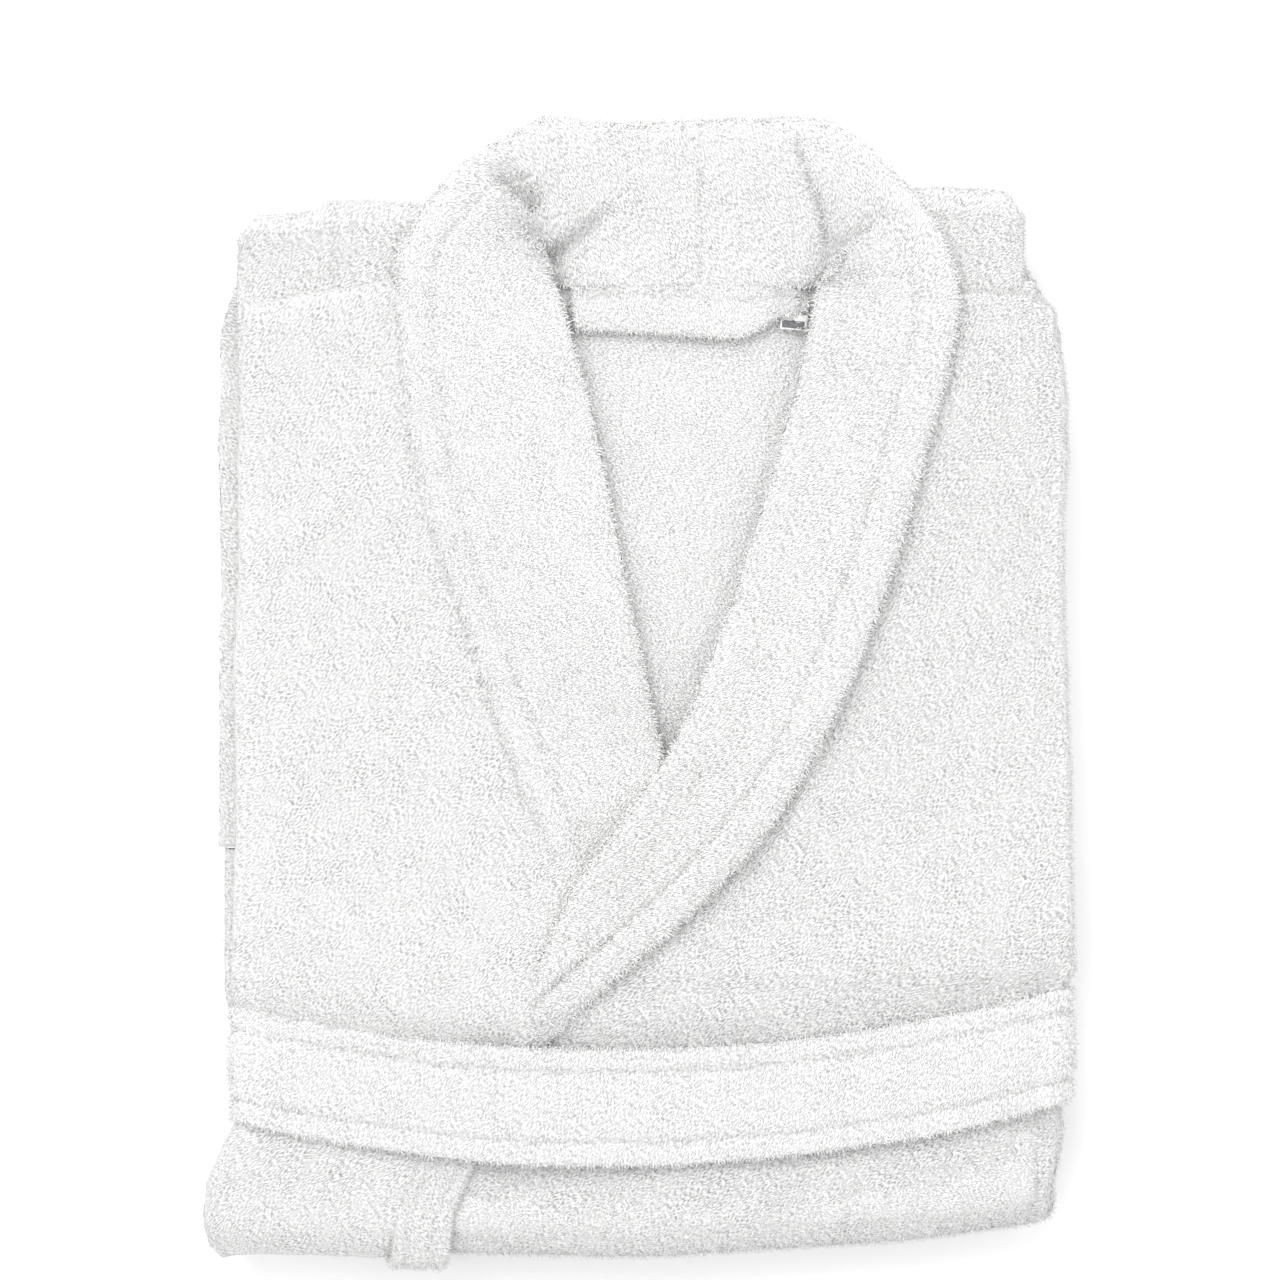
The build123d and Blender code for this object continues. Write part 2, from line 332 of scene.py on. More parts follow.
def mesh_object(name, points, face_groups, flat=None, depth=None, material=None):
    """Makes an object from points in millimetres and groups of faces with 3 or 4 corners."""
    mesh = bpy.data.meshes.new(name)
    mesh.vertices.add(len(points))
    mesh.vertices.foreach_set("co", (np.asarray(points) * 0.001).astype(np.float32).ravel())
    corners = np.concatenate([group.ravel() for group in face_groups]).astype(np.int32)
    sizes = np.concatenate([np.full(len(group), group.shape[1]) for group in face_groups])
    starts = np.concatenate([[0], np.cumsum(sizes)[:-1]]).astype(np.int32)
    mesh.loops.add(len(corners))
    mesh.loops.foreach_set("vertex_index", corners)
    mesh.polygons.add(len(sizes))
    mesh.polygons.foreach_set("loop_start", starts)
    mesh.polygons.foreach_set("use_smooth", np.ones(len(sizes), dtype=bool))
    mesh.update(calc_edges=True)
    mesh.validate()
    if flat is not None:
        values = np.column_stack([flat, np.zeros(len(flat))]) * 0.001
        mesh.attributes.new("cloth", "FLOAT_VECTOR", "POINT").data.foreach_set(
            "vector", values.astype(np.float32).ravel()
        )
    if depth is not None:
        mesh.attributes.new("pile", "FLOAT", "POINT").data.foreach_set(
            "value", np.asarray(depth, np.float32)
        )
    obj = bpy.data.objects.new(name, mesh)
    bpy.context.collection.objects.link(obj)
    if material:
        mesh.materials.append(material)
    return obj


def grid_normals(points):
    """The direction that each point of a grid faces, before it has faces."""
    along = np.gradient(points, axis=0)
    across = np.gradient(points, axis=1)
    n = np.cross(along, across)
    return n / np.maximum(np.linalg.norm(n, axis=2, keepdims=True), 1e-12)


def edge_rounding(rows, cols, radius):
    """How full a sheet is, 0.12 at its edges to 1; rows and cols are distances along it."""
    from_ends = np.minimum(rows - rows[0], rows[-1] - rows)
    from_sides = np.minimum(cols - cols[0], cols[-1] - cols)
    distance = np.minimum(from_ends[:, None], from_sides[None, :])
    return np.maximum(rounded(distance, radius), 0.12)


# ---- materials
def node(tree, kind, **values):
    """Adds a node to a tree, with its settings."""
    n = tree.nodes.new(kind)
    for key, value in values.items():
        setattr(n, key, value)
    return n


def chain(tree, source, kind="ShaderNodeMath", **values):
    """Adds a node of one numeric operation after a socket; sockets=(...) sets its other inputs."""
    sockets = values.pop("sockets", ())
    n = node(tree, kind, **values)
    tree.links.new(source, n.inputs[0])
    for k, value in enumerate(sockets, start=1):
        if isinstance(value, bpy.types.NodeSocket):
            tree.links.new(value, n.inputs[k])
        else:
            n.inputs[k].default_value = value
    return n.outputs[0]


def noise_node(tree, source, scale, detail=2.0, rough=0.5, colour=False):
    """Adds a noise texture at a place and gives its value, or its colour."""
    n = node(tree, "ShaderNodeTexNoise")
    n.inputs["Scale"].default_value = scale
    n.inputs["Detail"].default_value = detail
    n.inputs["Roughness"].default_value = rough
    tree.links.new(source, n.inputs["Vector"])
    return n.outputs["Color" if colour else "Fac"]


def terry_material(name, tint, dark, lean=0.95, tuft=(0.52, 1.75)):
    """Looped cotton. The tufts are tuft millimetres wide and long and lie at the angle lean, which
    drifts over the cloth. Between them the colour holds painted shade: the tint is dark times as
    bright in the gaps, less dark in random patches and where the 'pile' attribute is high."""
    material = bpy.data.materials.new(name)
    material.use_nodes = True
    tree = material.node_tree
    tree.nodes.clear()
    link = tree.links.new
    out = node(tree, "ShaderNodeOutputMaterial")
    cotton = node(tree, "ShaderNodeBsdfPrincipled")
    cotton.inputs["Roughness"].default_value = 0.92
    cotton.inputs["Specular IOR Level"].default_value = 0.15
    cotton.inputs["Sheen Weight"].default_value = 0.25
    cotton.inputs["Sheen Roughness"].default_value = 0.5
    link(cotton.outputs[0], out.inputs[0])

    def vector(source, operation, *sockets):
        return chain(tree, source, "ShaderNodeVectorMath", operation=operation, sockets=sockets)

    def remap(source, *sockets):
        return chain(tree, source, "ShaderNodeMapRange", sockets=sockets)

    def multiply(source, *sockets):
        operation = "MULTIPLY_ADD" if len(sockets) == 2 else "MULTIPLY"
        return chain(tree, source, operation=operation, sockets=sockets)

    place = node(tree, "ShaderNodeAttribute", attribute_name="cloth").outputs["Vector"]
    millimetres = vector(place, "SCALE")
    millimetres.node.inputs["Scale"].default_value = 1000.0
    swirl = vector(noise_node(tree, millimetres, 1 / 34, colour=True), "SUBTRACT", (0.5, 0.5, 0.5))
    swept = vector(swirl, "MULTIPLY_ADD", (3.6, 3.6, 0.0), millimetres)
    turned = chain(tree, swept, "ShaderNodeVectorRotate", rotation_type="Z_AXIS")
    turned.node.inputs["Angle"].default_value = lean
    size = vector(turned, "MULTIPLY", (1 / tuft[0], 1 / tuft[1], 0.0))

    strands = remap(noise_node(tree, size, 0.88, 2.0, 0.55), 0.37, 0.48, 0.0, 1.0)
    knots = node(tree, "ShaderNodeTexVoronoi", voronoi_dimensions="2D", feature="SMOOTH_F1")
    knots.inputs["Scale"].default_value = 0.8
    link(turned, knots.inputs["Vector"])
    knots = remap(knots.outputs["Distance"], 0.75, 0.05, 0.0, 1.0)
    fluff = noise_node(tree, turned, 1.6, 3.0, 0.65)
    relief = multiply(knots, 0.35, multiply(strands, 1.0, fluff))

    bump = node(tree, "ShaderNodeBump")
    bump.inputs["Strength"].default_value = 1.0
    bump.inputs["Distance"].default_value = 0.0006
    link(relief, bump.inputs["Height"])
    link(bump.outputs[0], cotton.inputs["Normal"])

    # Painted shade: the tint darkens in the gaps between strands and where the pile attribute is low, as
    # the shadow between tufts; random patches change how much
    pile = node(tree, "ShaderNodeAttribute", attribute_name="pile").outputs["Fac"]
    patches = remap(noise_node(tree, millimetres, 1 / 22, 3.0, 0.6), 0.34, 0.66, 0.15, 1.0)
    gap = remap(strands, 0.0, 1.0, 1.0, 0.0)
    hollow_shade = remap(pile, 0.75, 0.15, 0.35, 1.0)
    shade = multiply(multiply(gap, patches), hollow_shade)
    mix = node(tree, "ShaderNodeMix", data_type="RGBA")
    link(shade, mix.inputs["Factor"])
    first, second, result = mix.inputs[6], mix.inputs[7], mix.outputs[2]  # the sockets for colours
    first.default_value = (*tint, 1)
    second.default_value = (*[dark * t for t in tint], 1)
    link(result, cotton.inputs["Base Color"])
    return material


def plain_material(name, colour, roughness, scale, depth):
    """Thread or woven tape: fine relief, depth metres deep, over a colour that varies a little."""
    material = bpy.data.materials.new(name)
    material.use_nodes = True
    tree = material.node_tree
    link = tree.links.new
    shader = tree.nodes["Principled BSDF"]
    shader.inputs["Roughness"].default_value = roughness
    shader.inputs["Sheen Weight"].default_value = 0.15
    place = node(tree, "ShaderNodeTexCoord")
    wave = node(tree, "ShaderNodeTexWave", wave_type="BANDS", bands_direction="DIAGONAL")
    wave.inputs["Scale"].default_value = scale
    wave.inputs["Distortion"].default_value = 1.5
    link(place.outputs["Object"], wave.inputs["Vector"])
    bump = node(tree, "ShaderNodeBump")
    bump.inputs["Strength"].default_value = 0.5
    bump.inputs["Distance"].default_value = depth
    link(wave.outputs["Fac"], bump.inputs["Height"])
    link(bump.outputs[0], shader.inputs["Normal"])
    ramp = node(tree, "ShaderNodeValToRGB")
    ramp.color_ramp.elements[0].color = (*[0.8 * c for c in colour], 1)
    ramp.color_ramp.elements[1].color = (*colour, 1)
    link(wave.outputs["Fac"], ramp.inputs["Fac"])
    link(ramp.outputs["Color"], shader.inputs["Base Color"])
    return material


# All four are the same white terry. Their tints and gap darkness differ as painted light: the belt copy,
# the collar tops and the inside pieces are painted lighter than the fronts to make up for the shade they
# lie in, and the fronts get the darkest painted gaps. The inside copy's tufts also lie at another angle
# and size.
TERRY = terry_material("terry_white", (0.9, 0.898, 0.894), 0.48)
TERRY_LIGHTER_PAINTED = terry_material("terry_soft", (0.93, 0.928, 0.924), 0.64)
TERRY_COLLAR = terry_material("terry_collar", (0.952, 0.95, 0.946), 0.64)
TERRY_IN = terry_material("terry_inside", (0.948, 0.946, 0.942), 0.64, lean=1.1, tuft=(0.5, 1.4))
THREAD = plain_material("thread_white", (0.92, 0.915, 0.9), 0.6, 400.0, 0.0001)
LABEL = plain_material("label_tape", (0.2, 0.2, 0.21), 0.45, 900.0, 0.00008)


# ---- the folded panels
class Route:
    """A path in an upright plane, made of runs and turns: points of distance, place and heading."""

    def __init__(self, y, z, heading):
        self.points = [(0.0, y, z, heading)]

    def run(self, length, count=None):
        """Straight on, in steps of about 2 mm or in this many."""
        s, y, z, h = self.points[-1]
        count = count or max(1, int(length / 2))
        for k in range(1, count + 1):
            d = length * k / count
            self.points.append((s + d, y + d * math.cos(h), z + d * math.sin(h), h))
        return self

    def turn(self, degrees, radius, count=None):
        """Round a bend to the left, or to the right where both numbers are negative."""
        s, y, z, h = self.points[-1]
        angle = math.radians(degrees)
        cy, cz = y - radius * math.sin(h), z + radius * math.cos(h)
        count = count or max(8, int(degrees / 4))
        for k in range(1, count + 1):
            a = angle * k / count
            y, z = cy + radius * math.sin(h + a), cz - radius * math.cos(h + a)
            self.points.append((s + radius * a, y, z, h + a))
        return self

    def at(self, s):
        """Points and outward normals: y, z, ny, nz."""
        table = np.array(self.points)
        y = np.interp(s, table[:, 0], table[:, 1])
        z = np.interp(s, table[:, 0], table[:, 2])
        h = np.interp(s, table[:, 0], table[:, 3])
        return y, z, np.sin(h), -np.cos(h)

    @property
    def length(self):
        return self.points[-1][0]


LIP_R = 6.0  # the rolled shoulder end of a front
LIP_LENGTH = 6 + math.pi * LIP_R
TOP_LENGTH = SHOULDER_Y - LIP_R - (FOLD_Y + FOLD_R)
FOLD_LENGTH = math.pi * FOLD_R
UNDER_LENGTH = UNDER_END - (FOLD_Y + FOLD_R)
FOLD_START = LIP_LENGTH + TOP_LENGTH  # these three are distances along a front's route
MID_FOLD = FOLD_START + FOLD_LENGTH / 2
UNDER_START = FOLD_START + FOLD_LENGTH
IN_R = 12.5  # the inner fold, and the length after it
IN_LENGTH = 280.0

FRONT_ROUTE = (
    Route(SHOULDER_Y - 12, PACK_TOP - 2 * LIP_R, 0.0)
    .run(6)
    .turn(180, LIP_R)
    .run(TOP_LENGTH)
    .turn(180, FOLD_R)
    .run(UNDER_LENGTH)
    .turn(180, IN_R)
    .run(IN_LENGTH)
)


def route_s(y):
    """The distance along a front where its upper face is at this y. As the two add up to a
    constant, it also gives y at a distance."""
    return LIP_LENGTH + (SHOULDER_Y - LIP_R) - y


BELT_MIDDLE, BELT_TILT, BELT_BEND = -204.9, 0.0173, 0.0006017
BELT_HALF = 28.5
SEAM_Y = BELT_HALF - 2.0  # where the fronts part, just inside the belt's lower edge


def belt_y(x):
    """The middle line of the belt across the pack."""
    x = np.asarray(x, float)
    return BELT_MIDDLE + BELT_TILT * x + BELT_BEND * x * x


def side_line(s, known, folded):
    """x at distances s: known has points (y, x) of the upper face, and folded has x at the
    skirt's fold, past it, and on to the inner end."""
    distances = [route_s(y) for y, _ in known]
    distances += [MID_FOLD, UNDER_START + 20, UNDER_START + 80, FAR]
    return np.interp(s, distances, [x for _, x in known] + folded)


def side_x(s, side):
    """x of the pack's side, on the wearer's left (side 1) or right (-1), along the route."""
    if side > 0:
        upper = [
            (184, 206), (176, 210.5), (150, 213), (60, 212.5), (0, 213), (-100, 215), (-138, 216),
            (-148, 209), (-198, 208.5), (-208, 210), (-225, 212), (-262, 206),
        ]
        return side_line(s, upper, [207, 207, 206.5, 205])
    upper = [
        (192, -196), (150, -198), (0, -199.5), (-100, -201), (-148, -202), (-158, -198.5),
        (-214, -198.5), (-221, -203.5), (-230, -208), (-246, -215), (-262, -217),
    ]
    return side_line(s, upper, [-215.5, -208, -197.5, -198.5])


# The free edge of each front, down from the neck: y and x.
LEFT_EDGE = [
    (208, 93), (190, 88), (158, 81), (118, 69), (68, 54), (23, 39), (-29, 16), (-62, -7),
    (-97, -31), (-132, -46), (-172, -60), (-235, -110), (-287, -126),
]
RIGHT_EDGE = [(208, -47), (173, -37), (123, -25), (58, -12), (3, -1), (-32, 6), (-110, 24), (-287, 40)]


def edge_x(s, side):
    """x of a front's free edge at distances s along the route."""
    ys, xs = zip(*(LEFT_EDGE if side > 0 else RIGHT_EDGE))
    return np.interp(-route_s(np.asarray(s)), [-y for y in ys], xs)


def shoulder_shift(x):
    """How far the shoulder line stands above or below its mean."""
    xs = [-205, -196, -120, -40, 80, 158, 190, 205, 216]
    return np.interp(x, xs, [-12, -7, 6, 7, 7, 3, 2, -5, -18])


def fold_shift(x, s, middle=MID_FOLD):
    """The same for the skirt's fold, which hangs lowest at x 0; it fades out along s."""
    shift = np.interp(x, [-217, -205, -190, -125, 0, 130, 190, 212], [2, 4, 5, 3, 0, 8, 16, 20])
    return shift * bell(s - middle, 75)


def front_relief(x, y, side):
    """Height of the fronts' upper face over its mean, where the belt pulls it in."""
    e = y - belt_y(x)
    under = 1 - smoothstep(BELT_HALF + 1, BELT_HALF + 20, np.abs(e))
    z = -4.6 * under
    # It swells above the belt, most of all beside the lapels, and lies lower below it.
    z += 3.0 * bell(e - 64, 25) * (0.8 + 0.35 * noise(x, 0, 55, 3))
    beside = smoothstep(-70, -120, x) + smoothstep(40, 95, x)
    z += 2.4 * beside * bell(e - 74, 32)
    z -= (1 - under) * np.where(e < 0, 4.4 + 0.09 * np.clip(-e - BELT_HALF, 0, 60), 0)
    # Wide waves where the cloth is loose, and puckers along the belt.
    loose = (1 - 0.8 * under) * np.where(e < 0, 0.5, 1.0)
    z += loose * (1.5 * noise(x + 500, y + 500, 95, 5) + 0.7 * noise(x + 300, y + 700, 38, 6))
    near = bell(np.abs(e) - 40, 22)
    z += 0.8 * near * noise(x + 90, y * 0.35, 13, 7)
    if side > 0:  # a soft crease that the belt draws up
        ridge_x = np.interp(y, [-115, -10], [64, 90])
        z += 1.3 * bell(x - ridge_x, 5) * smoothstep(-120, -95, y) * (1 - smoothstep(-15, 5, y))
    return z


def front_points(s, columns, side, wide_until):
    """Outer-face points of one front on a grid of rows s and columns. A column is (t, 0) across
    the flat part, or (angle, 1) round the side's lip, or (distance, 2) on the part folded in.
    Past the distance wide_until the side goes straight on."""
    y, z, ny, nz = FRONT_ROUTE.at(s)
    outer = side_x(np.minimum(s, wide_until), side)
    edge = edge_x(s, side)
    below = UNDER_START - (FOLD_Y + FOLD_R)  # add y for a distance on the lower face
    known = [0, LIP_LENGTH * 0.9, LIP_LENGTH + 55, route_s(-160), route_s(-195)]
    known += [below - 125, below - 85, FAR]
    tube = np.interp(s, known, [7, 7, TUBE, TUBE, 20, 22, TUBE, TUBE])
    radius = tube / 2
    reach = np.minimum(radius, 7.0)  # the lip is flatter than it is deep
    x_lip = outer - side * reach
    points = np.zeros((len(s), len(columns), 3))
    depth = np.zeros((len(s), len(columns)))
    flat = np.zeros((len(s), len(columns), 2))
    for j, (value, part) in enumerate(columns):
        if part == 0:
            x = edge + (x_lip - edge) * value
            u = side * (x_lip - x)
            d = 0
        elif part == 1:
            x = x_lip + side * reach * max(math.sin(value), 0) ** 0.7
            u = -radius * value
            d = radius * (1 - math.cos(value))
        else:
            x = x_lip - side * value
            u = -radius * math.pi - value
            d = tube - 0.2 * CLOTH
        points[:, j, 0] = x
        depth[:, j] = d
        flat[:, j, 0] = side * u
        flat[:, j, 1] = s
    x = points[..., 0]
    s = s[:, None]
    outer, x_lip = outer[:, None], x_lip[:, None]
    wobble = 1.2 * noise(s, 0, 70, 21 + side) + 0.7 * noise(s, 0, 26, 23 + side)
    points[..., 0] += side * wobble * smoothstep(30, 0, side * (x_lip - x))
    points[..., 1] = y[:, None] - depth * ny[:, None]
    points[..., 2] = z[:, None] - depth * nz[:, None]
    points[..., 1] += shoulder_shift(x) * (1 - smoothstep(LIP_LENGTH, LIP_LENGTH + 90, s))
    points[..., 1] += fold_shift(x, s)
    upper = smoothstep(0.1, 0.9, nz)[:, None] * (s < MID_FOLD)
    shallow = 1 - np.clip(depth / TUBE, 0, 1)
    points[..., 2] += upper * shallow * front_relief(x, points[..., 1], side)
    near_side = smoothstep(26, 0, side * (outer - x))
    points[..., 2] -= upper * shallow * 1.8 * near_side
    lower = smoothstep(-0.1, -0.9, nz)[:, None] * (s > MID_FOLD)
    sag = near_side * smoothstep(-140, -118, points[..., 1])
    sag = np.maximum(smoothstep(72, 96, points[..., 1]), sag)
    points[..., 2] -= lower * shallow * (LIFT - 0.7) * sag
    if side < 0:
        covered = smoothstep(-6, 10, x - edge_x(s, 1))
        points[..., 2] -= upper * covered * (CLOTH + 1.5)
        points[..., 1] += covered * 5 * bell(s - MID_FOLD, 40)
        points[..., 2] += lower * smoothstep(-140, -120, x) * (CLOTH + 1)
    return points, flat


def thick(points, flat, distances, name, material, thickness=CLOTH):
    """A sheet whose outer face is the given grid; the cloth lies behind it."""
    normals = grid_normals(points)
    half = 0.5 * thickness
    full = half * edge_rounding(*distances, half)[..., None]
    # The pile grows thicker from y -30 down to y -150: the tufts stand higher there, and through shell
    # the colour also gets painted shade, darker towards the belt
    pile = 0.9 + 0.3 * smoothstep(-30, -150, points[..., 1])
    middle = points - normals * half
    return shell(name, middle + normals * full, middle - normals * full, flat, pile, material)


def front_columns(width):
    """Columns for front_points, with their distances across the cloth."""
    flat = steps((width, FINE))
    lip = steps((math.pi, math.pi / 14))
    back = steps((20, 3), (RETURN - 20, COARSE * 1.6))
    columns = [(v / flat[-1], 0) for v in flat]
    columns += [(v, 1) for v in lip[1:]]
    columns += [(v, 2) for v in back[1:]]
    distances = np.concatenate([flat, width + lip[1:] * TUBE / 2, width + math.pi * TUBE / 2 + back[1:]])
    return columns, distances


def front_rows(s0, s1):
    """Rows between two distances along the route: fine on the outside, coarse inside."""
    inner = UNDER_START + UNDER_LENGTH
    marks = [
        (0, LIP_LENGTH, 1.3),
        (LIP_LENGTH, UNDER_START, FINE),
        (UNDER_START, inner, 3.0),
        (inner, inner + math.pi * IN_R, 3.0),
        (inner + math.pi * IN_R, FAR, COARSE),
    ]
    stretches = []
    for low, high, step in marks:
        a, b = max(low, s0), min(high, s1)
        if b > a:
            stretches.append((b - a, step))
    return s0 + steps(*stretches)


def make_front(side, word):
    """One front, in two pieces that meet under the belt: from the shoulder down, and the skirt."""
    seam_middle = belt_y(-20)
    seam = route_s(seam_middle - SEAM_Y)
    overlap = 26
    columns, distances = front_columns(300.0 if side > 0 else 210.0)

    s = front_rows(0.0, seam)
    points, flat = front_points(s, columns, side, route_s(-198))
    points[..., 1] += smoothstep(seam - 45, seam, s)[:, None] * (belt_y(points[..., 0]) - seam_middle)
    upper = thick(points, flat, (s, distances), f"{word}_front_upper", TERRY)

    s = front_rows(seam - overlap, FRONT_ROUTE.length)
    points, flat = front_points(s, columns, side, FAR)
    points[..., 2] -= 1.2 * (1 - smoothstep(seam - 6, seam + 10, s))[:, None]
    skirt = thick(points, flat, (s, distances), f"{word}_front_skirt", TERRY)
    return upper, skirt


def make_back():
    """The back panel: its inside shows in the neck opening, the rest lies in the pack."""
    top_z = back_high[2] + 0.4
    nest = 7.0  # how far it lies inside the fronts' fold
    top_length = NECK_Y - (FOLD_Y + FOLD_R)
    route = (
        Route(NECK_Y, top_z, math.pi)
        .run(top_length)
        .turn(180, (top_z - LIFT - nest) / 2)
        .run(UNDER_LENGTH)
        .turn(180, 4.2)
        .run(IN_LENGTH)
    )
    shown = NECK_Y + 40
    s = steps((shown, FINE), (route.length - shown, COARSE))
    margin, beside, opening = 8, 150, 142  # widths across: the neck opening is the fine part
    rest = back_high[0] - back_low[0] - 2 * margin - beside - opening
    x = back_low[0] + margin + steps((beside, COARSE), (opening, FINE), (rest, COARSE))
    y, z, _, _ = route.at(s)
    xx, yy, zz, ss = np.broadcast_arrays(x, y[:, None], z[:, None], s[:, None])
    open_part = ss < shown + 60
    zz = zz + open_part * 3.4 * (1 - smoothstep(146, 172, yy))
    zz = zz + open_part * (0.9 * noise(xx + 40, yy + 300, 60, 31) + 0.5 * noise(xx, yy, 24, 32))
    yy = yy + fold_shift(xx, ss, top_length + FOLD_LENGTH / 2)
    points = grid(xx, yy, zz)
    flat = grid(xx, ss)
    return thick(points, flat, (s, x), "back_terry", TERRY_IN, thickness=3.2)


# ---- creases
def crease(x, y, points, depth, left, right, fade_in=6.0, fade_out=6.0):
    """The depth of a fold line: steep on one side and gentle on the other, as left and right
    give its width on each side of the line's direction."""
    p = np.array(points, float)
    lengths = np.linalg.norm(np.diff(p, axis=0), axis=1)
    total = lengths.sum()
    best = np.full(np.shape(x), np.inf)
    sign = np.ones(np.shape(x))
    where = np.zeros(np.shape(x))
    start = 0.0
    for a, b, length in zip(p[:-1], p[1:], lengths):
        d = (b - a) / length
        rx, ry = x - a[0], y - a[1]
        along = rx * d[0] + ry * d[1]
        t = np.clip(along, 0, length)
        dist = np.hypot(rx - t * d[0], ry - t * d[1])
        closer = dist < best
        best = np.where(closer, dist, best)
        sign = np.where(closer, np.sign(d[0] * ry - d[1] * rx), sign)
        where = np.where(closer, start + t, where)
        start += length
    width = np.where(sign > 0, left, right)
    ends = smoothstep(-0.5, fade_in, where) * smoothstep(-0.5, fade_out, total - where)
    return depth * ends * np.exp(-((best / width) ** 2))


# ---- the shawl collar
INNER_TURN, OUTER_TURN = 6.5, 4.2  # how wide the round edges of the lapel are
COLLAR_STEP = 1.35


class Collar:
    """One half of the shawl collar: a band between an inner and an outer line, from the centre
    back seam round the neck and down the lapel."""

    def __init__(self, inner, outer, back_until, lift, creases, press):
        self.inner = inner
        self.outer = outer
        self.back_until = back_until  # the point of the lines where the lapel begins
        self.lift = lift
        self.creases = creases
        self.press = press  # how far the outer edge lies below the middle
        self.t = np.linspace(0, len(inner) - 1, 1500)
        middle = 0.35 * spline(inner, self.t) + 0.65 * spline(outer, self.t)
        lengths = np.linalg.norm(np.diff(middle, axis=0), axis=1)
        self.walked = np.concatenate([[0], np.cumsum(lengths)])
        self.length = self.walked[-1]

    def place(self, distance):
        """The point number, and the points of both lines, at a distance down the band."""
        t = np.interp(distance, self.walked, self.t)
        return t, spline(self.inner, t), spline(self.outer, t)

    def heights(self, distance, across):
        """x, y, the heights of the upper face, the seam between the two layers and the lower
        face, and how far it is from the inner line. across is 0 at that line and 1 at the outer
        one."""
        t, inner, outer = self.place(distance)
        across = np.broadcast_to(across, (len(distance), np.shape(across)[-1]))
        plan = inner[:, None, :] + (outer - inner)[:, None, :] * across[..., None]
        x, y = plan[..., 0], plan[..., 1]
        width = np.linalg.norm(outer - inner, axis=1)[:, None]
        a = across * width
        b = (1 - across) * width
        back = (1 - smoothstep(self.back_until - 1.2, self.back_until + 1.2, t))[:, None]

        base = PACK_TOP + self.lift(x, y)
        inner_edge = rounded(a, np.minimum(INNER_TURN, 0.45 * width))
        inner_edge = inner_edge + (1 - inner_edge) * 0.8 * bell(t - 5.2, 1.5)[:, None]
        outer_edge = rounded(b, np.minimum(OUTER_TURN, 0.45 * width))
        # The lapel, which is puffed up, with a stitched channel along its outer edge.
        puff = 7.8 + 2.0 * bell(a - 9, 11) + 1.3 * bell(b - 11, 7) + 0.8 * noise(x + 70, y + 20, 42, 41)
        puff = puff + 0.6 * noise(x + 30, y + 60, 14, 43)
        puff = puff * np.clip(width / 40, 0.45, 1) * (1 - 0.5 * smoothstep(-145, -176, y))
        lapel_mid = base + 0.5 * puff + 0.6 + 1.0 * bell(b, 9) - self.press * (1 - smoothstep(0, 9, b))
        lapel_half = 0.5 * puff * inner_edge * outer_edge
        lapel_top = lapel_mid + lapel_half - 2.3 * bell(b - 20.5, 2.1) * inner_edge
        lapel_low = lapel_mid - lapel_half

        # The back of the collar, which rises to its roll.
        rise = 8.0 * smoothstep(0.05, 0.8, across)
        back_mid = 43.5 + 0.5 * rise
        back_half = 8.5 + 0.9 * rise + 0.8 * noise(x + 10, y + 80, 38, 42) + 0.5 * noise(x, y, 15, 44)
        back_half = back_half * rounded(b, 12.0) * (0.35 + 0.65 * (0.3 + 0.7 * rounded(a, 13.0)))
        back_top = back_mid + back_half
        back_bottom = back_mid - back_half

        top = back * back_top + (1 - back) * lapel_top
        low = back * back_bottom + (1 - back) * lapel_low
        for line, *shape in self.creases:
            dip = crease(x, y, line, *shape)
            top = np.maximum(top - dip, low + 0.5)
        tuck = 1.8 * (1 - smoothstep(0.0, 2.6, distance))[:, None]
        top = np.maximum(top - tuck, low + 0.5)
        middle = low + (top - low) * (0.42 * back + 0.3 * (1 - back))
        return x, y, top, middle, low, a

    def columns(self, distance):
        """Columns across the band, close together where it turns down at its edges."""
        _, inner, outer = self.place(distance)
        width = float(np.median(np.linalg.norm(outer - inner, axis=1)))
        left = INNER_TURN * edge_arc(8)
        right = width - OUTER_TURN * edge_arc(8)[::-1]
        count = int((right[0] - left[-1]) / COLLAR_STEP)
        inside = np.linspace(left[-1], right[0], count + 1)
        return np.concatenate([left, inside[1:-1], right]) / width


def make_collar(collar, word):
    """The upper and the under collar of one side, which meet inside the band."""
    rows = steps((collar.length, COLLAR_STEP))
    x, y, top, middle, low, a = collar.heights(rows, collar.columns(rows))
    flat = grid(-a if word == "left" else a, rows[:, None]) + 300

    upper = shell(
        f"{word}_collar_top", grid(x, y, top), grid(x, y, middle + 0.1), flat, 1.0, TERRY_COLLAR,
        fringe=0.42, teeth=(2.0, 4.0, 0.75),
    )
    under = shell(
        f"{word}_collar_under", grid(x, y, middle - 0.1), grid(x, y, low), flat + 55, 0.7, TERRY
    )
    return upper, under


def left_lift(x, y):
    """The left lapel lies over the end of the right one where they cross."""
    over = 6.0 * bell(x + 8, 30) * bell(y + 66, 40)
    sink = 3.8 * smoothstep(-146, -176, y)
    return over - sink


def right_lift(x, y):
    """The right lapel sinks to its end, under the left one."""
    return -1.5 - 3.0 * smoothstep(-50, -85, y)


